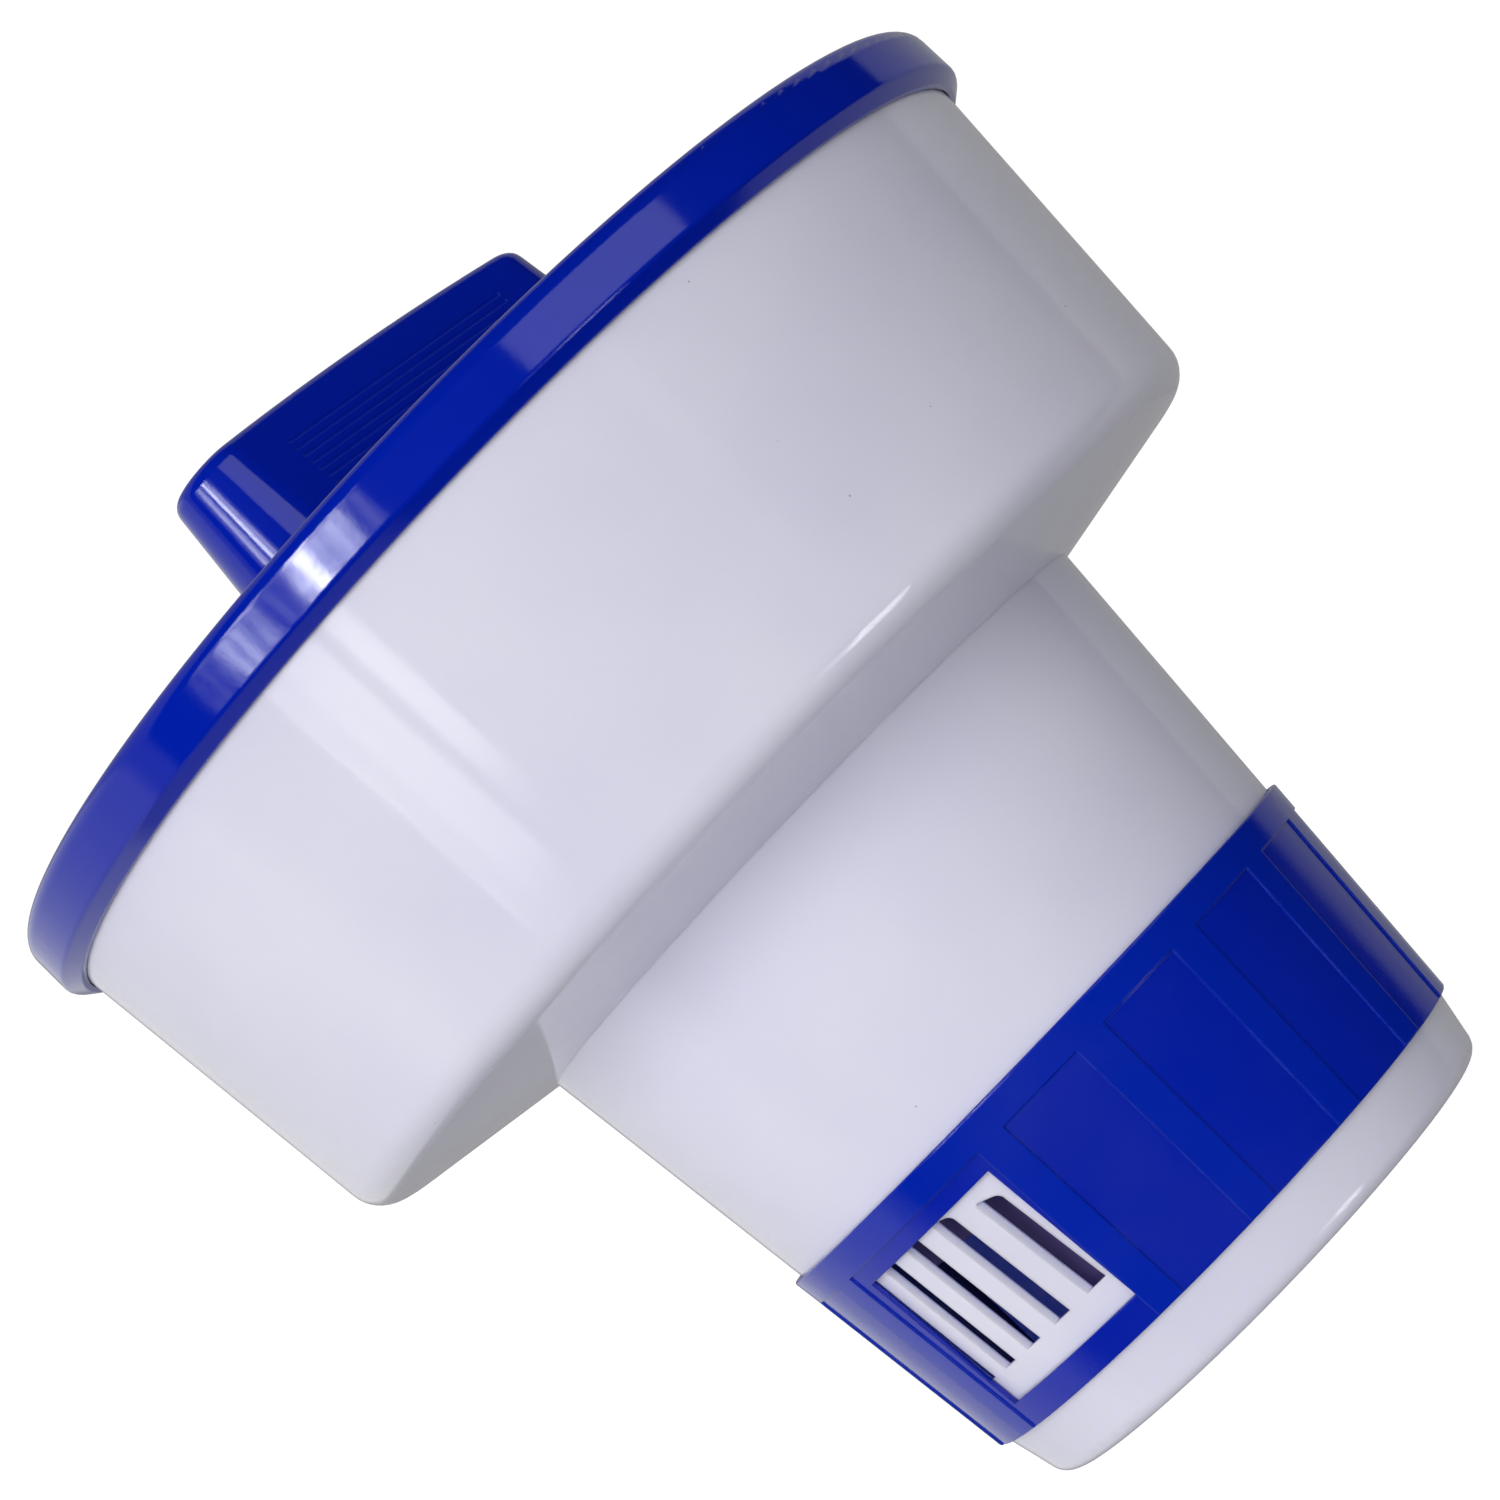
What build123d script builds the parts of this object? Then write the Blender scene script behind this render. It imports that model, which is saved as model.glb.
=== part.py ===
from build123d import *
from math import cos, radians, sin, tan
import os

# Floating chlorine dispenser, in millimetres. It stands on its base, with the origin at the centre of
# the base and +Z up. Azimuths are measured from +X towards +Y.

os.makedirs("parts", exist_ok=True)

# ---- driving dimensions ----

# canister: the tapered cup at the bottom, with a foot below the ring that narrows more
foot_radius = 42.35
foot_fillet = 2.8
foot_height = 9.5
# radius that the taper above the foot would have if it went on down to the base
taper_base_radius = 43.5
shoulder_height = 91.0
shoulder_radius = 53.0
canister_wall = 1.3
canister_thick_wall = 2.2
thickening_start = 41.0
thickening_end = 42.0
floor_thickness = 2.4

# drum: the wide float above the shoulder
drum_wall = 1.6
drum_lower_radius = 84.2
drum_lower_height = 96.3
drum_rim_radius = 89.67
drum_rim_height = 155.9
drum_lower_fillet = 5.5

# slots in the canister, in two groups on opposite sides
slot_azimuth = -148.5
slots_each_side = 4
slot_pitch = 6.4
slot_width = 3.2
slot_bottom = 18.5
slot_arch_top = 42.3
slot_arch_radius = 64.6
slot_outer_round = 1.3
slot_inner_round = 0.5

# flow ring
ring_bottom = 9.75
ring_top = 46.75
ring_gap = 0.25
ring_wall = 1.15
ring_edge_round = 0.3
panel_recess = 0.3
panel_top = 42.25
panel_arc = 16.5
panel_pitch = 22.5
window_azimuth = -129.4
window_width = 29.3
window_offset = 0.65
window_bottom = 14.05
window_top = 39.55
ring_open_travel = 19.0
ring_close_travel = 41.0

# bead inside the ring that snaps into two grooves of the canister
bead_height = 44.5
bead_thickness = 1.6
bead_arc = 30.0
bead_engagement = 0.45
groove_thickness = 2.4
groove_depth = 0.75
groove_end_gap = 0.6

# tablet sleeve: it takes tablets of 76 mm diameter
sleeve_bore_radius = 39.7
sleeve_outer_radius = 41.0
sleeve_top = 149.5
sleeve_window_bottom = 6.0
sleeve_window_top = 34.7
sleeve_window_arc = 70.0
sleeve_window_azimuth = -158.5
sleeve_windows = 4
ledge_radius = 47.5
ledge_bottom = 83.0
ledge_top = 86.0
ledge_slope_height = 2.0
flange_thickness = 2.0
flange_radius = 50.5

# rubber rings that keep water out of the air chamber round the sleeve
seal_thickness = 1.2
gasket_thickness = 0.95
seal_inset = 0.2

# top cover
skirt_bottom = 148.6
skirt_lip_radius = 89.15
skirt_lip_height = 2.0
skirt_inner_radius = 90.0
skirt_foot_radius = 90.0
skirt_foot_round = 0.3
skirt_radius = 92.2
skirt_face_bottom = 150.3
skirt_face_round = 0.8
rim_radius = 92.15
rim_height = 158.5
rim_round = 2.5
cover_plate = 1.7
landing_radius = 56.0
landing_height = 160.3
mouth_radius = 46.0
collar_wall = 2.0
collar_bottom = 147.5
spigot_bottom = 141.0
spigot_inner_radius = 41.15
spigot_outer_radius = 43.0

# bayonet between the cover and the cap
lug_count = 3
lug_arc = 30.0
lug_radius = 45.6
lug_bottom = 152.0
lug_top = 155.0
catch_radius = 44.95
catch_bottom = 155.4
catch_top = 158.0
catch_arc = 50.0
cap_turn = 60.0
stop_gap = 0.5
stop_arc = 4.0
stop_bottom = 151.0

# twist cap with the bar handle
cap_seal_inner_radius = 44.9
cap_seal_outer_radius = 51.0
cap_seal_thickness = 1.05
cap_radius = 52.5
cap_bottom = 161.4
cap_top = 163.6
cap_edge_round = 1.0
plug_radius = 44.5
plug_wall = 2.2
plug_bottom = 150.2
handle_azimuth = 44.7
handle_length = 80.4
handle_width = 14.8
handle_top = 186.5
handle_draft = 7.2
handle_crown = 1.1
handle_wall = 2.2
handle_round = 2.4
grip_length = 52.0
grip_bottom = 168.0
grip_pitch = 1.5
grip_lines = 9
grip_width = 0.45
grip_depth = 0.08

# slots and windows are cut straight in, from outside to within the sleeve
cut_start = 33.0
cut_length = 30.0
# how far a raised feature is sunk into the wall that it stands on
root = 0.5
# how far a cutting shape passes beyond the surface that it cuts
overrun = 1.0
# how near a corner must be to the place where it is looked for
tolerance = 0.01


# ---- derived shapes ----


def canister_radius(height):
    """Outer radius of the canister's taper at a height."""
    return taper_base_radius + (shoulder_radius - taper_base_radius) * height / shoulder_height


def radial_plane(azimuth, distance=0.0):
    """Upright plane that faces outwards at an azimuth, with its x axis level and its y axis up."""
    outward = (cos(radians(azimuth)), sin(radians(azimuth)), 0)
    level = (-sin(radians(azimuth)), cos(radians(azimuth)), 0)
    return Plane(origin=(0, 0, 0), x_dir=level, z_dir=outward).offset(distance)


def section_plane(azimuth):
    """Upright plane that holds the Z axis and starts a revolved arc at an azimuth."""
    return Plane.XZ.rotated((0, 0, azimuth))


def turn_outline(outline, start, arc, mode=Mode.ADD):
    """Turns an outline of (radius, height) points about Z over an arc, in the part being built."""
    with BuildSketch(section_plane(start)) as section:
        with BuildLine():
            Polyline(*outline, close=True)
        make_face()
    revolve(section.sketch, axis=Axis.Z, revolution_arc=arc, mode=mode)


def band(inner, outer, bottom, top):
    """Rectangle of a ring's cross-section, as (radius, height) points."""
    return [(inner, bottom), (outer, bottom), (outer, top), (inner, top)]


def round_corner(outline, radius, height, rounding):
    """Rounds the corner of a cross-section that lies at a radius and a height."""
    corner = outline.vertices().sort_by_distance((radius, height, 0))[0]
    fillet(corner, rounding)


def offset_in_slot(corner):
    """How far a corner is from its slot's centreline, positive away from the middle of the group."""
    return abs(corner.X) - slot_pitch * round(abs(corner.X) / slot_pitch)


def faces_group_end(corner):
    """True for a slot's corner on the side away from the middle of its group."""
    return abs(offset_in_slot(corner) - slot_width / 2) < tolerance


def faces_group_middle(corner):
    """True for a slot's corner on the side towards the middle of its group."""
    return abs(offset_in_slot(corner) + slot_width / 2) < tolerance


# ---- outer shell: drum, shoulder and slotted canister ----

inner_shoulder_radius = canister_radius(shoulder_height) - drum_wall
ledge_slope_bottom = ledge_bottom - ledge_slope_height
foot_slope = (canister_radius(foot_height) - foot_radius) / foot_height
floor_radius = foot_radius + foot_slope * floor_thickness - canister_wall

with BuildPart() as outer_shell:
    with BuildSketch(Plane.XZ) as shell_outline:
        with BuildLine():
            Polyline(
                (0, 0),
                (foot_radius, 0),
                (canister_radius(foot_height), foot_height),
                (shoulder_radius, shoulder_height),
                (drum_lower_radius, drum_lower_height),
                (drum_rim_radius, drum_rim_height),
                (drum_rim_radius - drum_wall, drum_rim_height),
                (drum_lower_radius - drum_wall, drum_lower_height + drum_wall),
                (inner_shoulder_radius, shoulder_height + drum_wall),
                (canister_radius(ledge_top) - drum_wall, ledge_top),
                (ledge_radius, ledge_top),
                (ledge_radius, ledge_bottom),
                (canister_radius(ledge_slope_bottom) - canister_thick_wall, ledge_slope_bottom),
                (canister_radius(thickening_end) - canister_thick_wall, thickening_end),
                (canister_radius(thickening_start) - canister_wall, thickening_start),
                (canister_radius(foot_height) - canister_wall, foot_height),
                (floor_radius, floor_thickness),
                (0, floor_thickness),
                close=True,
            )
        make_face()
        round_corner(shell_outline, drum_lower_radius, drum_lower_height, drum_lower_fillet)
        round_corner(
            shell_outline,
            drum_lower_radius - drum_wall,
            drum_lower_height + drum_wall,
            drum_lower_fillet - drum_wall,
        )
        round_corner(shell_outline, foot_radius, 0, foot_fillet)
    revolve(axis=Axis.Z)

    # slots: each group is cut straight in, and its tops follow one wide arch
    for group_azimuth in (slot_azimuth, slot_azimuth + 180):
        with BuildSketch(radial_plane(group_azimuth, cut_start)) as slots:
            slot_height = slot_arch_top - slot_bottom
            with GridLocations(slot_pitch, 0, 2 * slots_each_side + 1, 1):
                with Locations((0, slot_bottom + slot_height / 2)):
                    Rectangle(slot_width, slot_height)
            with Locations((0, slot_arch_top - slot_arch_radius)):
                Circle(slot_arch_radius, mode=Mode.INTERSECT)
            upper_corners = slots.vertices().filter_by(lambda v: v.Y > slot_bottom + slot_width)
            fillet(upper_corners.filter_by(faces_group_end), slot_outer_round)
            upper_corners = slots.vertices().filter_by(lambda v: v.Y > slot_bottom + slot_width)
            fillet(upper_corners.filter_by(faces_group_middle), slot_inner_round)
        extrude(amount=cut_length, mode=Mode.SUBTRACT)

    # grooves for the ring's bead, as long as the bead and its travel
    groove_bottom = bead_height - groove_thickness / 2
    groove_top = bead_height + groove_thickness / 2
    groove_floor = canister_radius(bead_height) - groove_depth
    groove_mouth = canister_radius(bead_height) + overrun
    groove_outline = band(groove_floor, groove_mouth, groove_bottom, groove_top)
    groove_arc = bead_arc + ring_open_travel + ring_close_travel + 2 * groove_end_gap
    for side in (0, 180):
        groove_start = window_azimuth + side - bead_arc / 2 - ring_open_travel - groove_end_gap
        turn_outline(groove_outline, groove_start, groove_arc, Mode.SUBTRACT)

# ---- tablet sleeve: straight tube with a flange and four cut-outs at its foot ----

flange_bottom = ledge_top + seal_thickness

with BuildPart() as tablet_sleeve:
    with BuildSketch(Plane.XY.offset(floor_thickness)):
        Circle(sleeve_outer_radius)
        Circle(sleeve_bore_radius, mode=Mode.SUBTRACT)
    extrude(amount=sleeve_top - floor_thickness)
    with BuildSketch(Plane.XY.offset(flange_bottom)):
        Circle(flange_radius)
        Circle(sleeve_bore_radius, mode=Mode.SUBTRACT)
    extrude(amount=flange_thickness)
    cutout_inner_radius = sleeve_bore_radius - overrun
    cutout_outer_radius = sleeve_outer_radius + overrun
    cutout = band(cutout_inner_radius, cutout_outer_radius, sleeve_window_bottom, sleeve_window_top)
    for index in range(sleeve_windows):
        middle = sleeve_window_azimuth + index * 360 / sleeve_windows
        turn_outline(cutout, middle - sleeve_window_arc / 2, sleeve_window_arc, Mode.SUBTRACT)

# ---- chamber seal: between the sleeve's flange and the shell's ledge ----

with BuildPart() as chamber_seal:
    with BuildSketch(Plane.XY.offset(ledge_top)):
        Circle(flange_radius - seal_inset)
        Circle(ledge_radius + seal_inset, mode=Mode.SUBTRACT)
    extrude(amount=seal_thickness)

# ---- cover gasket: between the drum's rim and the cover ----

with BuildPart() as cover_gasket:
    with BuildSketch(Plane.XY.offset(drum_rim_height)):
        Circle(drum_rim_radius - seal_inset)
        Circle(drum_rim_radius - drum_wall + seal_inset, mode=Mode.SUBTRACT)
    extrude(amount=gasket_thickness)

# ---- top cover: overlapping skirt, plate, landing for the cap, mouth and collar ----

plate_slope = (landing_height - rim_height) / (rim_radius - landing_radius)


def plate_height(radius):
    """Height of the cover's top surface outside the flat landing."""
    return landing_height - plate_slope * (radius - landing_radius)


collar_outer_radius = mouth_radius + collar_wall

with BuildPart() as top_cover:
    with BuildSketch(Plane.XZ) as cover_outline:
        with BuildLine():
            Polyline(
                (skirt_lip_radius, skirt_bottom),
                (skirt_foot_radius, skirt_bottom),
                (skirt_radius, skirt_face_bottom),
                (rim_radius, rim_height),
                (landing_radius, landing_height),
                (mouth_radius, landing_height),
                (mouth_radius, sleeve_top),
                (spigot_inner_radius, sleeve_top),
                (spigot_inner_radius, spigot_bottom),
                (spigot_outer_radius, spigot_bottom),
                (spigot_outer_radius, collar_bottom),
                (collar_outer_radius, collar_bottom),
                (collar_outer_radius, landing_height - cover_plate),
                (landing_radius, landing_height - cover_plate),
                (skirt_inner_radius, plate_height(skirt_inner_radius) - cover_plate),
                (skirt_inner_radius, skirt_bottom + skirt_lip_height),
                close=True,
            )
        make_face()
        round_corner(cover_outline, rim_radius, rim_height, rim_round)
        round_corner(cover_outline, skirt_foot_radius, skirt_bottom, skirt_foot_round)
        round_corner(cover_outline, skirt_radius, skirt_face_bottom, skirt_face_round)
    revolve(axis=Axis.Z)
    catch_outline = band(catch_radius, mouth_radius + root, catch_bottom, catch_top)
    stop_outline = band(catch_radius, mouth_radius + root, stop_bottom, catch_bottom)
    for index in range(lug_count):
        lug_middle = handle_azimuth + index * 360 / lug_count
        catch_middle = lug_middle + cap_turn
        turn_outline(catch_outline, catch_middle - catch_arc / 2, catch_arc)
        stop_start = catch_middle + lug_arc / 2 + stop_gap
        turn_outline(stop_outline, stop_start, stop_arc)

# ---- cap seal: lies on the cover's landing, under the cap ----

with BuildPart() as cap_seal:
    with BuildSketch(Plane.XY.offset(landing_height)):
        Circle(cap_seal_outer_radius)
        Circle(cap_seal_inner_radius, mode=Mode.SUBTRACT)
    extrude(amount=cap_seal_thickness)

# ---- bar handle: tapered bar with round ends, a slightly crowned top and grip lines ----

handle_plane = Plane.XY.rotated((0, 0, handle_azimuth))
handle_foot = cap_top - root
draft_slope = tan(radians(handle_draft))


def handle_outline(height, inset=0.0):
    """Slot-shaped outline of the bar at a height, drawn a distance inside its surface."""
    growth = 2 * draft_slope * (handle_top - height) - 2 * inset
    SlotOverall(handle_length + growth, handle_width + growth)


with BuildPart() as bar_handle:
    for height in (handle_foot, handle_top):
        with BuildSketch(handle_plane.offset(height)):
            handle_outline(height)
    loft()
    crown_radius = (handle_length / 2) ** 2 / (2 * handle_crown)
    side_plane = Plane(origin=(0, 0, 0), x_dir=handle_plane.x_dir, z_dir=-handle_plane.y_dir)
    with BuildSketch(side_plane):
        with Locations((0, handle_top - crown_radius)):
            Circle(crown_radius)
    extrude(amount=handle_width, both=True, mode=Mode.INTERSECT)
    fillet(bar_handle.edges().group_by(Axis.Z)[-1], handle_round)
    grip_plane = Plane(origin=(0, 0, 0), x_dir=handle_plane.y_dir, z_dir=handle_plane.x_dir)
    with BuildSketch(grip_plane):
        for line in range(grip_lines):
            height = grip_bottom + line * grip_pitch
            half_width = handle_width / 2 + draft_slope * (handle_top - height)
            with Locations((half_width, height), (-half_width, height)):
                Rectangle(2 * grip_depth, grip_width)
    extrude(amount=grip_length / 2, both=True, mode=Mode.SUBTRACT)

# ---- hollow of the bar handle, open at the underside of the cap ----

with BuildPart() as handle_hollow:
    for height in (cap_bottom, handle_top - handle_wall - handle_crown):
        with BuildSketch(handle_plane.offset(height)):
            handle_outline(height, handle_wall)
    loft()

# ---- twist cap: disc, plug with bayonet lugs, and the hollow bar handle ----

with BuildPart() as twist_cap:
    with BuildSketch(Plane.XY.offset(cap_bottom)):
        Circle(cap_radius)
    extrude(amount=cap_top - cap_bottom)
    fillet(twist_cap.edges().group_by(Axis.Z)[-1], cap_edge_round)
    with BuildSketch(Plane.XY.offset(plug_bottom)):
        Circle(plug_radius)
        Circle(plug_radius - plug_wall, mode=Mode.SUBTRACT)
    extrude(amount=cap_bottom - plug_bottom)
    add(bar_handle.part)
    add(handle_hollow.part, mode=Mode.SUBTRACT)
    lug_outline = band(plug_radius - root, lug_radius, lug_bottom, lug_top)
    for index in range(lug_count):
        lug_middle = handle_azimuth + index * 360 / lug_count
        turn_outline(lug_outline, lug_middle - lug_arc / 2, lug_arc)

# ---- flow ring: tapered ring with recessed panels, two windows and a snap bead ----

ring_outer_radius_bottom = canister_radius(ring_bottom) + ring_gap + ring_wall
ring_outer_radius_top = canister_radius(ring_top) + ring_gap + ring_wall

with BuildPart() as flow_ring:
    with BuildSketch(Plane.XZ) as ring_outline:
        with BuildLine():
            Polyline(
                (canister_radius(ring_bottom) + ring_gap, ring_bottom),
                (ring_outer_radius_bottom, ring_bottom),
                (ring_outer_radius_top, ring_top),
                (canister_radius(ring_top) + ring_gap, ring_top),
                close=True,
            )
        make_face()
        round_corner(ring_outline, ring_outer_radius_bottom, ring_bottom, ring_edge_round)
        round_corner(ring_outline, ring_outer_radius_top, ring_top, ring_edge_round)
    revolve(axis=Axis.Z)

    # panels: recesses that run out of the ring's lower edge
    panel_offset = ring_gap + ring_wall - panel_recess
    recess_bottom = ring_bottom - overrun
    recess_outline = [
        (canister_radius(recess_bottom) + panel_offset, recess_bottom),
        (canister_radius(recess_bottom) + panel_offset + overrun, recess_bottom),
        (canister_radius(panel_top) + panel_offset + overrun, panel_top),
        (canister_radius(panel_top) + panel_offset, panel_top),
    ]
    # a wide panel with the window takes the place of two plain ones on each side
    plain_panels = int(180 / panel_pitch) - 2
    first_panel = 1.5 * panel_pitch
    wide_arc = panel_pitch + panel_arc
    for side in (0, 180):
        middles = [(0, wide_arc)]
        for index in range(plain_panels):
            middles.append((first_panel + index * panel_pitch, panel_arc))
        for middle, arc in middles:
            start = window_azimuth + side + middle - arc / 2
            turn_outline(recess_outline, start, arc, Mode.SUBTRACT)

    # windows
    window_height = window_top - window_bottom
    for side in (0, 180):
        with BuildSketch(radial_plane(window_azimuth + side, cut_start)):
            with Locations((window_offset, window_bottom + window_height / 2)):
                Rectangle(window_width, window_height)
        extrude(amount=cut_length, mode=Mode.SUBTRACT)

    # bead
    bead_bottom = bead_height - bead_thickness / 2
    bead_top = bead_height + bead_thickness / 2
    bead_radius = canister_radius(bead_height) - bead_engagement
    bead_root = canister_radius(bead_height) + ring_gap + root
    bead_outline = band(bead_radius, bead_root, bead_bottom, bead_top)
    for side in (0, 180):
        turn_outline(bead_outline, window_azimuth + side - bead_arc / 2, bead_arc)

# ---- output ----

pieces = {
    "outer_shell": outer_shell,
    "tablet_sleeve": tablet_sleeve,
    "chamber_seal": chamber_seal,
    "cover_gasket": cover_gasket,
    "top_cover": top_cover,
    "cap_seal": cap_seal,
    "twist_cap": twist_cap,
    "flow_ring": flow_ring,
}
for name, piece in pieces.items():
    piece.part.label = name
    export_step(piece.part, f"parts/{name}.step")
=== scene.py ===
import math

import bpy
from mathutils import Matrix, Vector

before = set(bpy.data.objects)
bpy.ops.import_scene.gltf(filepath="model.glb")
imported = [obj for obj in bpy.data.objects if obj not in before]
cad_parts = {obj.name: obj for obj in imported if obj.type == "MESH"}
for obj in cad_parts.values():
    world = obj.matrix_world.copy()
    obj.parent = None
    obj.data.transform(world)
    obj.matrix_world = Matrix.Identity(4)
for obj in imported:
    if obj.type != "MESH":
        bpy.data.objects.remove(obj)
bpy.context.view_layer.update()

# Floating chlorine dispenser: looks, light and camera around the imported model. Lengths are in metres,
# and azimuths are in degrees from +X towards +Y, so the camera stands at azimuth -90.

# camera, as the photograph was taken: close to the ring's height, and rolled by half a right angle
CAMERA_DISTANCE = 0.6112
CAMERA_HEIGHT = 0.0612
CAMERA_YAW = 0.10
CAMERA_PITCH = 4.07
CAMERA_ROLL = -46.18
CAMERA_LENS = 101.34
SENSOR_WIDTH = 36.0

# studio: the floor's half width, and the lights' distance from the middle of the dispenser
FLOOR_HALF_WIDTH = 20.0
MIDDLE_HEIGHT = 0.09
LIGHT_DISTANCE = 6.0

# room around the dispenser: a bright wall and a dark side, each with the azimuth of its middle and half
# its width. The wall is reflected and lights surfaces, the room's light only does the second, and the
# two sheens are only reflected
WALL_AZIMUTH = 147.5
WALL_HALF_WIDTH = 42.5
WALL_LIGHT = 0.95
DARK_AZIMUTH = -65.0
DARK_HALF_WIDTH = 98.0
DARK_SHEEN = 0.01
ROOM_SHEEN = 0.42
ROOM_LIGHT = 0.34
SIDE_BLUR = 0.02

# what the camera sees around the dispenser
BACKDROP = 1.05
FLOOR_GREY = 0.9
FLOOR_ROUGHNESS = 0.9
FLOOR_GLOW = 0.8

# lights as patches of the surroundings: azimuths from and to, elevations from and to, radiance
SOFT_BOXES = {
    "key_soft_box": (-147, -103, -14, 30, 1.66),
    "front_soft_box": (-117, -73, -14, 30, 2.1),
}
REFLECTED_PANELS = {
    "window_low_edge": (-141.6, -140.9, -4.4, 8, 3.0),
    "window_low_left": (-140.9, -136.3, -4.4, 8, 1.6),
    "window_low_middle": (-136.3, -128.0, -4.4, 8, 2.5),
    "window_low_right": (-125, -120, -3.2, 8, 3.2),
    "grey_panel": (-68, -30, 5, 30, 1.4),
    "grey_panel_low": (-60, -53, -5, 3, 0.4),
    "low_panel": (-54, -41, -48, -34, 6.0),
    "low_panel_left": (-66, -54, -45, -36, 1.8),
}

# window in the reflections: azimuths from and to and radiance of its panes, which add up, then its
# lowest and highest elevation and the blur of its edges, in degrees
WINDOW_PANES = {
    "whole": (-149.0, -103.0, 1.6),
    "left": (-141.0, -130.0, 6.0),
    "centre": (-122.5, -116.5, 22.0),
    "right": (-115.5, -108.0, 7.0),
}
WINDOW_LOW = 8.0
WINDOW_HIGH = 27.0
WINDOW_BLUR = 0.8
# light and dark blots of what is seen through the window: their size in degrees, the noise values
# that are darkest and brightest, and the factors those put on the light
BLOT_SIZE = 2.5
BLOT_DETAIL = 4.0
BLOT_NOISE = (0.4, 0.6)
BLOT_LIGHT = (0.1, 2.0)

# linear colours
WHITE_PLASTIC = (0.80, 0.795, 0.975)
# the sleeve's white plastic darkened and tinted purple: painted shade of its shadowed inside
INNER_PLASTIC_PAINTED_SHADE = (0.09, 0.068, 0.18)
BLUE_PLASTIC = (0.0, 0.014, 0.42)
WHITE = (1.0, 1.0, 1.0)
BLACK = (0.0, 0.0, 0.0)
BLUE_SHEEN = (0.9, 0.92, 1.0)
# paler edge colours: wear, and a painted highlight along the edges
WORN_WHITE_PAINTED_HIGHLIGHT = (0.88, 0.88, 0.93)
WORN_INNER_PAINTED_SHADE_AND_HIGHLIGHT = (0.13, 0.11, 0.23)
WORN_BLUE_PAINTED_HIGHLIGHT = (0.01, 0.07, 0.60)
BLUE_RIB = (0.0, 0.024, 0.45)
# painted light: blue glow on the canister's inner wall behind the ring
PAINTED_RING_LIGHT = (0.02, 0.08, 1.0)
SPECK = (0.10, 0.09, 0.11)
RUBBER = (0.025, 0.025, 0.028)
# paler rubber edges: wear and painted highlight
WORN_RUBBER_PAINTED_HIGHLIGHT = (0.07, 0.07, 0.075)

# edges: the radius that light sees on them, the likeness of the rounded and the true surface's
# directions where an edge begins and where it is sharp, and how strong the wear and painted highlight are
EDGE_ROUND = 0.0004
EDGE_SAMPLES = 4
EDGE_LIKENESS = 0.98
SHARP_LIKENESS = 0.80
EDGE_WEAR_PAINTED_HIGHLIGHT = 0.5
EDGE_ROUGHNESS = 0.15

# patches along an edge where it is less worn and has less painted highlight: their size, the noise
# values that are least and most worn, and the share of the wear and painted highlight at those
PATCH_SIZE = 0.006
PATCH_DETAIL = 3.0
PATCH_NOISE = (0.35, 0.6)
PATCH_WEAR_PAINTED_HIGHLIGHT = (0.35, 1.0)

# clouds of uneven colour and haze of uneven gloss: the noise values that are lowest and highest, the
# sizes of the features, and the factors on colour and roughness
USUAL_NOISE = (0.3, 0.7)
CLOUD_SIZE = 0.035
CLOUD_DETAIL = 2.0
CLOUD_SHADE = (0.97, 1.03)
HAZE_SIZE = 0.012
HAZE_DETAIL = 4.0
HAZE_ROUGHNESS = (0.8, 1.3)

# unevenness of the surfaces: the size of the features and their height
SMOOTH_GRAIN = (0.0008, 0.000004)
SATIN_GRAIN = (0.0005, 0.00002)
RUBBER_GRAIN = (0.0004, 0.00004)
WHITE_WAVES = (0.018, 0.00003)
BLUE_WAVES = (0.006, 0.000025)
GRAIN_DETAIL = 3.0
WAVE_DETAIL = 1.0
RUBBER_GRAIN_DETAIL = 2.0

# bloom on the rubber: the size of its features, and the least and greatest roughness
BLOOM_SIZE = 0.008
BLOOM_DETAIL = 3.0
BLOOM_ROUGHNESS = (0.5, 0.7)

# specks of dirt in the white plastic, how deep light goes into it, and how that differs between red,
# green and blue
SPECK_SPACING = 0.006
SPECK_SIZE = 0.0002
SPECK_SHARE = 0.5
SOFT_DEPTH = 0.0012
SOFT_SPREAD = (1.0, 1.0, 1.0)

# the canister's taper: its radius where it would meet the floor, and its growth with the height
TAPER_RADIUS = 0.0435
TAPER_SLOPE = 0.0095 / 0.091

# the ring: its thickness on the canister, the depth of its panels, and how the ribs between them differ
RING_THICKNESS = 0.0014
PANEL_DEPTH = 0.0003
RIB_TINT = 0.4
RIB_ROUGHNESS = 0.7

# painted light: a blue glow painted on the canister's inner wall where the ring covers it, in place of
# light
# through the ring: from which depth below the outer surface, between which heights, and how strong
GLOW_DEPTH = 0.0007
GLOW_BOTTOM = 0.00375
GLOW_TOP = 0.04675
PAINTED_GLOW_STRENGTH = 0.07


# ---- small helpers for node trees ----


def add_node(tree, kind, inputs=None, **settings):
    """New node with its settings and its inputs, which are plain values or other nodes' outputs."""
    node = tree.nodes.new(kind)
    for name, value in settings.items():
        setattr(node, name, value)
    for name, value in (inputs or {}).items():
        if isinstance(value, bpy.types.NodeSocket):
            tree.links.new(value, node.inputs[name])
        else:
            node.inputs[name].default_value = value
    return node


def map_value(tree, value, low, high, to_low=0.0, to_high=1.0):
    """A value mapped from one range to another and held within it."""
    inputs = {"Value": value, "From Min": low, "From Max": high, "To Min": to_low, "To Max": to_high}
    return add_node(tree, "ShaderNodeMapRange", inputs).outputs["Result"]


def noise(tree, place, size, detail):
    """Soft noise around 0.5, with features of about this size."""
    inputs = {"Vector": place, "Scale": 1 / size, "Detail": detail}
    return add_node(tree, "ShaderNodeTexNoise", inputs).outputs["Fac"]


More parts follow.
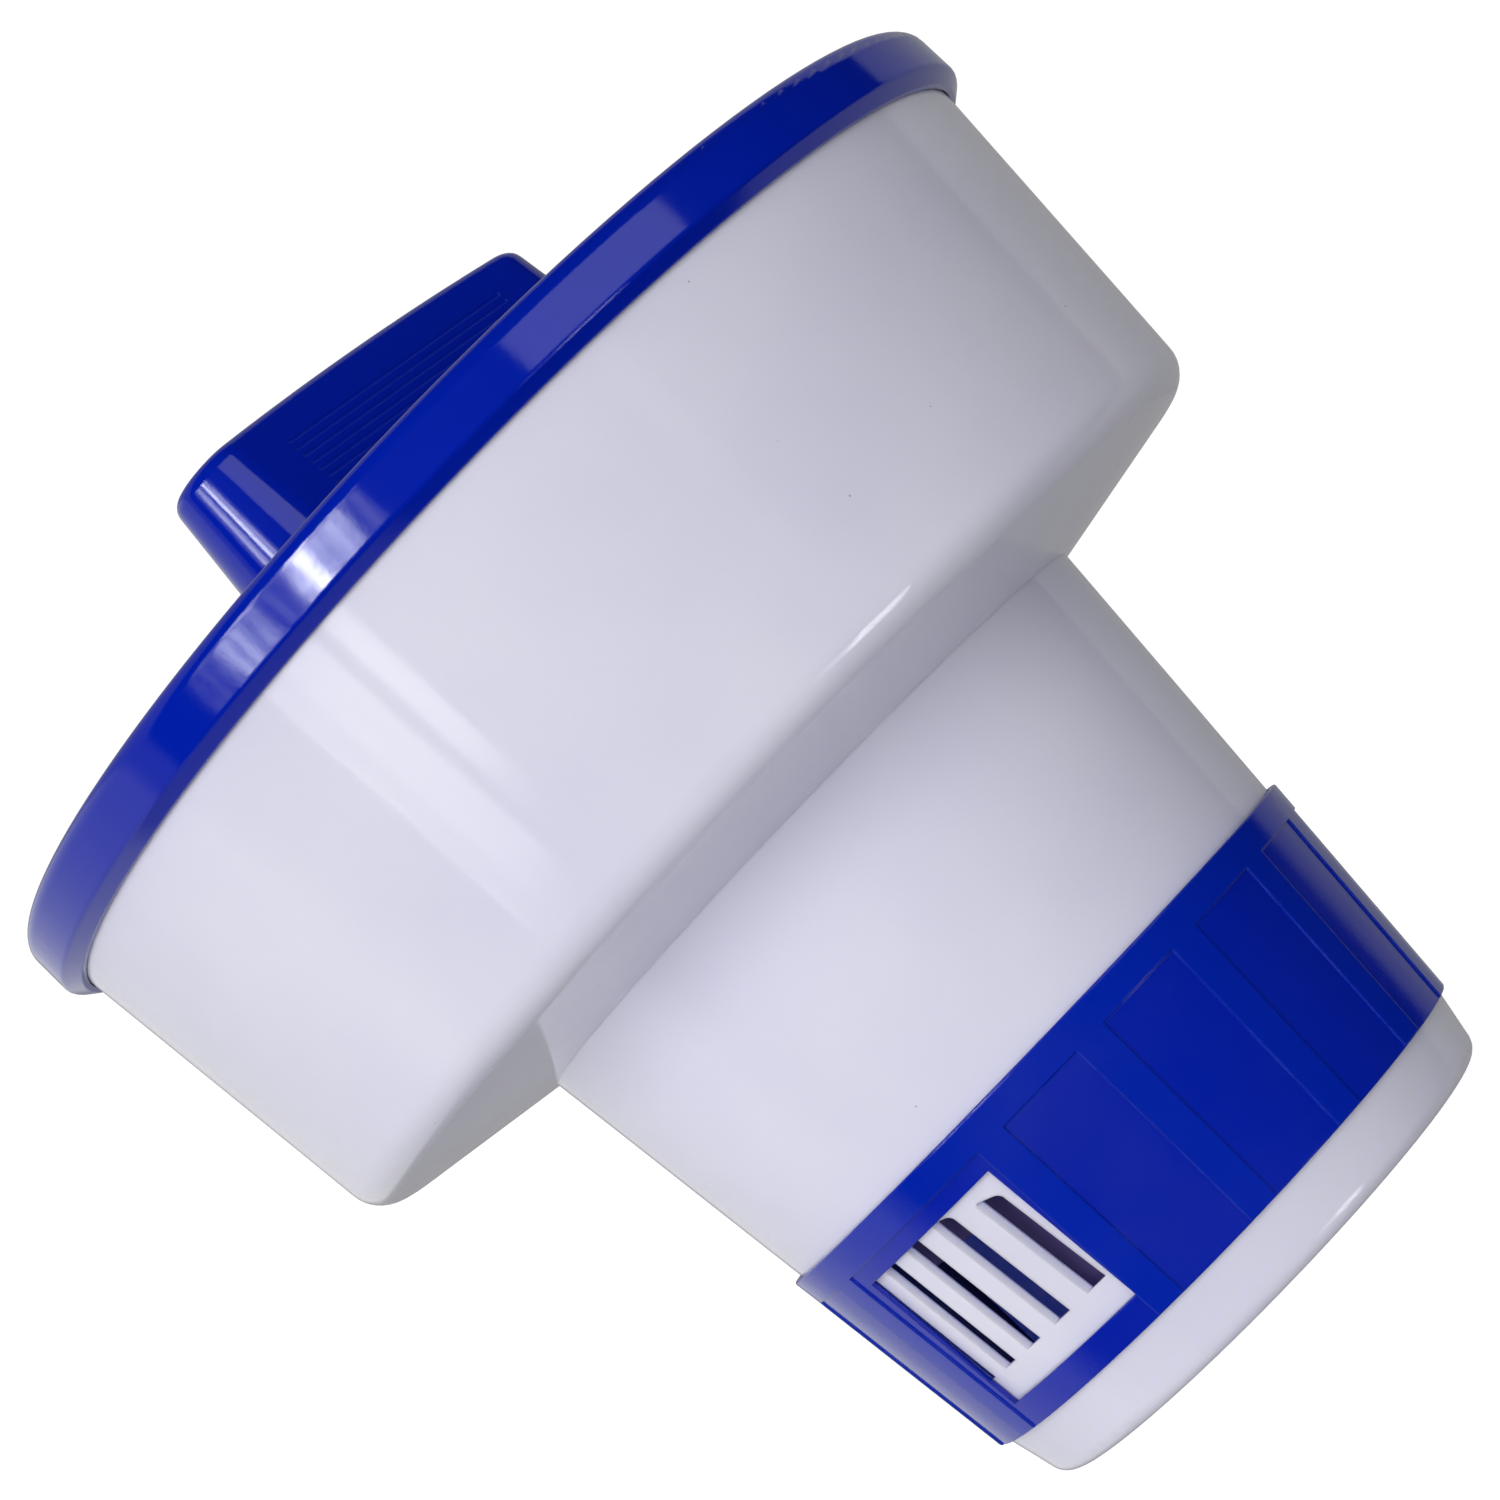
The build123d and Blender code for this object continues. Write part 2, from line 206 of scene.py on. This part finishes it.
def uneven(tree, place, size, detail, values, noise_range=USUAL_NOISE):
    """Soft noise mapped to a (lowest, highest) pair of values."""
    return map_value(tree, noise(tree, place, size, detail), *noise_range, *values)


def object_place(tree):
    """Place of the shaded point on the dispenser."""
    return add_node(tree, "ShaderNodeTexCoord").outputs["Object"]


def calculate(tree, operation, first, second):
    """Result of a sum, product or other operation on two values."""
    return add_node(tree, "ShaderNodeMath", {0: first, 1: second}, operation=operation).outputs["Value"]


def dot_product(tree, first, second):
    """Likeness of two directions: 1 where they are the same."""
    inputs = {0: first, 1: second}
    return add_node(tree, "ShaderNodeVectorMath", inputs, operation="DOT_PRODUCT").outputs["Value"]


def blend_values(tree, factor, first, second):
    """Mix of two values."""
    return add_node(tree, "ShaderNodeMix", {"Factor": factor, "A": first, "B": second}).outputs[0]


def blend_colours(tree, factor, first, second):
    """Mix of two colours; each is a linear triple or another node's output."""
    mix = add_node(tree, "ShaderNodeMixRGB", {"Fac": factor})
    for name, value in (("Color1", first), ("Color2", second)):
        if isinstance(value, bpy.types.NodeSocket):
            tree.links.new(value, mix.inputs[name])
        else:
            mix.inputs[name].default_value = colour(value)
    return mix.outputs["Color"]


def colour(rgb):
    """Opaque colour from three linear values."""
    return (*rgb, 1.0)


def direction(azimuth, elevation=0.0):
    """Unit vector towards an azimuth and an elevation in degrees."""
    a = math.radians(azimuth)
    e = math.radians(elevation)
    return Vector((math.cos(a) * math.cos(e), math.sin(a) * math.cos(e), math.sin(e)))


# ---- camera ----


def make_camera():
    """Camera in front of the dispenser, turned by its yaw, pitch and roll."""
    forward, right, up = Vector((0, 1, 0)), Vector((1, 0, 0)), Vector((0, 0, 1))
    yaw, pitch, roll = (math.radians(v) for v in (CAMERA_YAW, CAMERA_PITCH, CAMERA_ROLL))
    turned = forward * math.cos(yaw) + right * math.sin(yaw)
    right = right * math.cos(yaw) - forward * math.sin(yaw)
    view = turned * math.cos(pitch) + up * math.sin(pitch)
    up = up * math.cos(pitch) - turned * math.sin(pitch)
    rolled_right = right * math.cos(roll) + up * math.sin(roll)
    rolled_up = up * math.cos(roll) - right * math.sin(roll)
    data = bpy.data.cameras.new("camera")
    data.sensor_width = SENSOR_WIDTH
    data.lens = CAMERA_LENS
    camera = bpy.data.objects.new("camera", data)
    axes = Matrix((rolled_right, rolled_up, -view)).transposed()
    place = Vector((0, -CAMERA_DISTANCE, CAMERA_HEIGHT))
    camera.matrix_world = Matrix.Translation(place) @ axes.to_4x4()
    bpy.context.scene.collection.objects.link(camera)
    bpy.context.scene.camera = camera


# ---- light and floor ----


def sector(tree, place, azimuth, half_width):
    """Mask that is 1 in the directions within an angle of a level direction, and 0 in the others."""
    likeness = dot_product(tree, place, direction(azimuth))
    edge = math.cos(math.radians(half_width))
    return map_value(tree, likeness, edge - SIDE_BLUR, edge + SIDE_BLUR)


def angles(tree, place):
    """Azimuth and elevation, in degrees, of a direction."""
    parts = add_node(tree, "ShaderNodeSeparateXYZ", {"Vector": place})
    azimuth = calculate(tree, "ARCTAN2", parts.outputs["Y"], parts.outputs["X"])
    elevation = calculate(tree, "ARCSINE", parts.outputs["Z"], 0.0)
    return calculate(tree, "DEGREES", azimuth, 0.0), calculate(tree, "DEGREES", elevation, 0.0)


def between(tree, value, low, high, blur):
    """Mask that is 1 between two limits and 0 outside them, with soft edges."""
    above = map_value(tree, value, low - blur, low + blur)
    below = map_value(tree, value, high + blur, high - blur)
    return calculate(tree, "MULTIPLY", above, below)


def window_light(tree, place):
    """Radiance of the window: its panes, broken up by the trees and curtains behind them."""
    azimuth, elevation = angles(tree, place)
    total = 0.0
    for start, end, radiance in WINDOW_PANES.values():
        pane = between(tree, azimuth, start, end, WINDOW_BLUR)
        total = calculate(tree, "ADD", total, calculate(tree, "MULTIPLY", pane, radiance))
    view = add_node(tree, "ShaderNodeCombineXYZ", {"X": azimuth, "Y": elevation}).outputs["Vector"]
    blots = uneven(tree, view, BLOT_SIZE, BLOT_DETAIL, BLOT_LIGHT, BLOT_NOISE)
    in_window = between(tree, elevation, WINDOW_LOW, WINDOW_HIGH, WINDOW_BLUR / 2)
    return calculate(tree, "MULTIPLY", calculate(tree, "MULTIPLY", total, blots), in_window)


def make_world():
    """White to the camera. To the object it is a dim room with a bright wall behind, on the left."""
    world = bpy.data.worlds.new("studio")
    bpy.context.scene.world = world
    world.use_nodes = True
    tree = world.node_tree
    tree.nodes.clear()
    place = add_node(tree, "ShaderNodeTexCoord").outputs["Generated"]
    path = add_node(tree, "ShaderNodeLightPath")
    in_dark = sector(tree, place, DARK_AZIMUTH, DARK_HALF_WIDTH)
    sheen = blend_values(tree, in_dark, ROOM_SHEEN, DARK_SHEEN)
    sheen = calculate(tree, "ADD", sheen, window_light(tree, place))
    room = blend_values(tree, path.outputs["Is Glossy Ray"], ROOM_LIGHT, sheen)
    in_wall = sector(tree, place, WALL_AZIMUTH, WALL_HALF_WIDTH)
    strength = blend_values(tree, in_wall, room, WALL_LIGHT)
    surroundings = add_node(tree, "ShaderNodeBackground", {"Strength": strength})
    backdrop = add_node(tree, "ShaderNodeBackground", {"Color": colour(WHITE), "Strength": BACKDROP})
    mix = add_node(
        tree,
        "ShaderNodeMixShader",
        {0: path.outputs["Is Camera Ray"], 1: surroundings.outputs[0], 2: backdrop.outputs[0]},
    )
    add_node(tree, "ShaderNodeOutputWorld", {"Surface": mix.outputs[0]})


def patch_side(start, end):
    """Length that spans two angles, as seen from the object at the lights' distance."""
    return 2 * LIGHT_DISTANCE * math.tan(math.radians(end - start) / 2)


def make_light(name, patch, reflected):
    """Flat light that fills a patch of the surroundings. It is either reflected or lights surfaces."""
    azimuth_start, azimuth_end, elevation_start, elevation_end, radiance = patch
    data = bpy.data.lights.new(name, "AREA")
    data.shape = "RECTANGLE"
    data.size = patch_side(azimuth_start, azimuth_end)
    data.size_y = patch_side(elevation_start, elevation_end)
    data.energy = radiance * data.size * data.size_y * math.pi
    light = bpy.data.objects.new(name, data)
    back = direction((azimuth_start + azimuth_end) / 2, (elevation_start + elevation_end) / 2)
    light.rotation_mode = "QUATERNION"
    light.rotation_quaternion = back.to_track_quat("Z", "Y")
    light.location = Vector((0, 0, MIDDLE_HEIGHT)) + back * LIGHT_DISTANCE
    light.visible_camera = False
    light.visible_glossy = reflected
    light.visible_diffuse = not reflected
    bpy.context.scene.collection.objects.link(light)


def make_lights():
    """The soft boxes, which only light surfaces, and the panels, which are only reflected."""
    for name, patch in SOFT_BOXES.items():
        make_light(name, patch, reflected=False)
    for name, patch in REFLECTED_PANELS.items():
        make_light(name, patch, reflected=True)


def make_floor():
    """Plain pale floor. It glows a little, so that it ends in the white backdrop without a line."""
    mesh = bpy.data.meshes.new("floor")
    edge = FLOOR_HALF_WIDTH
    corners = [(-edge, -edge, 0), (edge, -edge, 0), (edge, edge, 0), (-edge, edge, 0)]
    mesh.from_pydata(corners, [], [(0, 1, 2, 3)])
    floor = bpy.data.objects.new("floor", mesh)
    bpy.context.scene.collection.objects.link(floor)
    material, tree, shader = new_material("floor")
    shader.inputs["Base Color"].default_value = colour([FLOOR_GREY] * 3)
    shader.inputs["Roughness"].default_value = FLOOR_ROUGHNESS
    shader.inputs["Specular IOR Level"].default_value = 0.0
    shader.inputs["Emission Color"].default_value = colour(WHITE)
    shader.inputs["Emission Strength"].default_value = FLOOR_GLOW
    mesh.materials.append(material)
    floor.visible_glossy = False
    floor.visible_diffuse = False
    floor.visible_shadow = False


# ---- materials ----


def new_material(name):
    """Material with a bare Principled shader: (material, node tree, shader)."""
    material = bpy.data.materials.new(name)
    material.use_nodes = True
    tree = material.node_tree
    return material, tree, tree.nodes["Principled BSDF"]


def soft_edges(tree):
    """Direction of the surface as if every edge were slightly rounded."""
    return add_node(tree, "ShaderNodeBevel", {"Radius": EDGE_ROUND}, samples=EDGE_SAMPLES).outputs["Normal"]


def worn_painted_highlight_edges(tree, place, rounded):
    """Mask that is 1 on outer and inner edges and 0 on faces, broken up along the edge. It marks both wear
    and a painted highlight along the edges.
    """
    geometry = add_node(tree, "ShaderNodeNewGeometry")
    likeness = dot_product(tree, rounded, geometry.outputs["Normal"])
    edge = map_value(tree, likeness, EDGE_LIKENESS, SHARP_LIKENESS)
    patches = uneven(tree, place, PATCH_SIZE, PATCH_DETAIL, PATCH_WEAR_PAINTED_HIGHLIGHT, PATCH_NOISE)
    return calculate(tree, "MULTIPLY", edge, patches)


def relief(tree, place, size_and_height, detail, surface):
    """Direction of an uneven surface, from that of the surface under it."""
    size, height = size_and_height
    inputs = {"Distance": height, "Height": noise(tree, place, size, detail), "Normal": surface}
    return add_node(tree, "ShaderNodeBump", inputs).outputs["Normal"]


def specks(tree, place):
    """Mask of a few small specks: the cells of a random pattern whose centre lies at the surface."""
    cells = add_node(tree, "ShaderNodeTexVoronoi", {"Vector": place, "Scale": 1 / SPECK_SPACING})
    reach = SPECK_SIZE / SPECK_SPACING
    nearness = map_value(tree, cells.outputs["Distance"], reach, reach / 2)
    parts = add_node(tree, "ShaderNodeSeparateColor", {"Color": cells.outputs["Color"]})
    chosen = calculate(tree, "LESS_THAN", parts.outputs["Red"], SPECK_SHARE)
    return calculate(tree, "MULTIPLY", nearness, chosen)


def radius_and_height(tree, place):
    """Distance of a point from the dispenser's axis, and its height above the floor."""
    parts = add_node(tree, "ShaderNodeSeparateXYZ", {"Vector": place})
    level = add_node(tree, "ShaderNodeCombineXYZ", {"X": parts.outputs["X"], "Y": parts.outputs["Y"]})
    length = add_node(tree, "ShaderNodeVectorMath", {0: level.outputs["Vector"]}, operation="LENGTH")
    return length.outputs["Value"], parts.outputs["Z"]


def off_canister(tree, radius, height):
    """Distance of a point outwards from the canister's outer surface."""
    growth = calculate(tree, "MULTIPLY", height, TAPER_SLOPE)
    surface = calculate(tree, "ADD", growth, TAPER_RADIUS)
    return calculate(tree, "SUBTRACT", radius, surface)


def ring_ribs(tree, place):
    """Mask that is 1 on the ring's raised ribs and 0 in its sunk panels."""
    offset = off_canister(tree, *radius_and_height(tree, place))
    return map_value(tree, offset, RING_THICKNESS - 0.8 * PANEL_DEPTH, RING_THICKNESS - 0.2 * PANEL_DEPTH)


def behind_ring(tree, place):
    """Mask that is 1 on the canister's inner wall where the ring covers it from outside."""
    radius, height = radius_and_height(tree, place)
    inside = calculate(tree, "LESS_THAN", off_canister(tree, radius, height), -GLOW_DEPTH)
    above = calculate(tree, "GREATER_THAN", height, GLOW_BOTTOM)
    below = calculate(tree, "LESS_THAN", height, GLOW_TOP)
    covered = calculate(tree, "MULTIPLY", above, below)
    return calculate(tree, "MULTIPLY", inside, covered)


def plastic_colour(tree, place, edge, rgb, worn_painted_highlight_rgb, speck_strength):
    """Slightly clouded colour with a few specks, and paler edges that are wear and painted highlight."""
    shade = uneven(tree, place, CLOUD_SIZE, CLOUD_DETAIL, CLOUD_SHADE)
    body = add_node(tree, "ShaderNodeVectorMath", {0: rgb, "Scale": shade}, operation="SCALE")
    # paler edges: wear and painted highlight
    wear_painted_highlight = calculate(tree, "MULTIPLY", edge, EDGE_WEAR_PAINTED_HIGHLIGHT)
    body_and_edges = blend_colours(tree, wear_painted_highlight, body.outputs["Vector"], worn_painted_highlight_rgb)
    dirt = calculate(tree, "MULTIPLY", specks(tree, place), speck_strength)
    return blend_colours(tree, dirt, body_and_edges, SPECK)


def plastic_gloss(tree, place, edge, roughness):
    """Roughness that varies with a haze and is greater on worn edges."""
    smoothest, roughest = (share * roughness for share in HAZE_ROUGHNESS)
    hazy = uneven(tree, place, HAZE_SIZE, HAZE_DETAIL, (smoothest, roughest))
    scuffs = calculate(tree, "MULTIPLY", edge, EDGE_ROUGHNESS)
    return calculate(tree, "ADD", hazy, scuffs)


def moulded_plastic(name, rgb, worn_painted_highlight_rgb, roughness, grain, waves, sheen, softness=0.0, speck_strength=0.0):
    """Moulded plastic: wavy faces, fine grain, uneven colour and gloss, and worn edges whose paler colour
    is also a painted highlight.

    grain and waves are the (size, height) of the two kinds of unevenness of the surface.
    """
    material, tree, shader = new_material(name)
    place = object_place(tree)
    rounded = soft_edges(tree)
    edge = worn_painted_highlight_edges(tree, place, rounded)
    body = plastic_colour(tree, place, edge, rgb, worn_painted_highlight_rgb, speck_strength)
    gloss = plastic_gloss(tree, place, edge, roughness)
    wavy = relief(tree, place, waves, WAVE_DETAIL, rounded)
    grained = relief(tree, place, grain, GRAIN_DETAIL, wavy)
    tree.links.new(body, shader.inputs["Base Color"])
    tree.links.new(gloss, shader.inputs["Roughness"])
    tree.links.new(grained, shader.inputs["Normal"])
    shader.inputs["Specular Tint"].default_value = colour(sheen)
    shader.inputs["Subsurface Weight"].default_value = softness
    shader.inputs["Subsurface Radius"].default_value = SOFT_SPREAD
    shader.inputs["Subsurface Scale"].default_value = SOFT_DEPTH
    return material


def tint_ribs(material):
    """Makes the ring's raised ribs a little lighter and glossier than its panels."""
    tree = material.node_tree
    shader = tree.nodes["Principled BSDF"]
    ribs = ring_ribs(tree, object_place(tree))
    body = shader.inputs["Base Color"].links[0].from_socket
    tint = calculate(tree, "MULTIPLY", ribs, RIB_TINT)
    tree.links.new(blend_colours(tree, tint, body, BLUE_RIB), shader.inputs["Base Color"])
    gloss = shader.inputs["Roughness"].links[0].from_socket
    polish = map_value(tree, ribs, 0.0, 1.0, 1.0, RIB_ROUGHNESS)
    tree.links.new(calculate(tree, "MULTIPLY", gloss, polish), shader.inputs["Roughness"])


def paint_glow_behind_ring(material):
    """Paints a faint blue glow on the canister's inner wall behind the blue ring: painted light in place of
    the light that comes through the ring.
    """
    tree = material.node_tree
    shader = tree.nodes["Principled BSDF"]
    # painted light: the glow's colour where the ring covers the wall
    glow = blend_colours(tree, behind_ring(tree, object_place(tree)), BLACK, PAINTED_RING_LIGHT)
    tree.links.new(glow, shader.inputs["Emission Color"])
    shader.inputs["Emission Strength"].default_value = PAINTED_GLOW_STRENGTH


def rubber(name):
    """Matt black rubber with a fine grain, and paler edges that are wear and painted highlight."""
    material, tree, shader = new_material(name)
    place = object_place(tree)
    rounded = soft_edges(tree)
    edge = worn_painted_highlight_edges(tree, place, rounded)
    bloom = uneven(tree, place, BLOOM_SIZE, BLOOM_DETAIL, BLOOM_ROUGHNESS)
    grained = relief(tree, place, RUBBER_GRAIN, RUBBER_GRAIN_DETAIL, rounded)
    # paler edges: wear and painted highlight
    tree.links.new(blend_colours(tree, edge, RUBBER, WORN_RUBBER_PAINTED_HIGHLIGHT), shader.inputs["Base Color"])
    tree.links.new(bloom, shader.inputs["Roughness"])
    tree.links.new(grained, shader.inputs["Normal"])
    return material


def dress():
    """Gives every CAD node its material."""
    white = moulded_plastic(
        "white_shell_plastic",
        WHITE_PLASTIC,
        WORN_WHITE_PAINTED_HIGHLIGHT,
        roughness=0.07,
        grain=SMOOTH_GRAIN,
        waves=WHITE_WAVES,
        sheen=WHITE,
        softness=0.6,
        speck_strength=0.55,
    )
    # inner sleeve: white plastic with painted shade, its colours darkened as if in shadow
    inner = moulded_plastic(
        "white_inner_plastic_painted_shade",
        INNER_PLASTIC_PAINTED_SHADE,
        WORN_INNER_PAINTED_SHADE_AND_HIGHLIGHT,
        roughness=0.12,
        grain=SMOOTH_GRAIN,
        waves=WHITE_WAVES,
        sheen=WHITE,
    )
    blue = {"rgb": BLUE_PLASTIC, "worn_painted_highlight_rgb": WORN_BLUE_PAINTED_HIGHLIGHT, "sheen": BLUE_SHEEN, "waves": BLUE_WAVES}
    cover = moulded_plastic("blue_cover_plastic", roughness=0.08, grain=SMOOTH_GRAIN, **blue)
    cap = moulded_plastic("blue_cap_plastic", roughness=0.08, grain=SMOOTH_GRAIN, **blue)
    ring = moulded_plastic("blue_ring_plastic", roughness=0.16, grain=SATIN_GRAIN, **blue)
    tint_ribs(ring)
    # painted light: blue glow on the white plastic's inner wall behind the ring
    paint_glow_behind_ring(white)
    black = rubber("seal_rubber")
    looks = {
        "outer_shell": white,
        "tablet_sleeve": inner,
        "top_cover": cover,
        "twist_cap": cap,
        "flow_ring": ring,
        "chamber_seal": black,
        "cover_gasket": black,
        "cap_seal": black,
    }
    for name, material in looks.items():
        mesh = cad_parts[name].data
        mesh.materials.clear()
        mesh.materials.append(material)


make_camera()
make_world()
make_lights()
make_floor()
dress()
bpy.context.scene.view_settings.view_transform = "Standard"
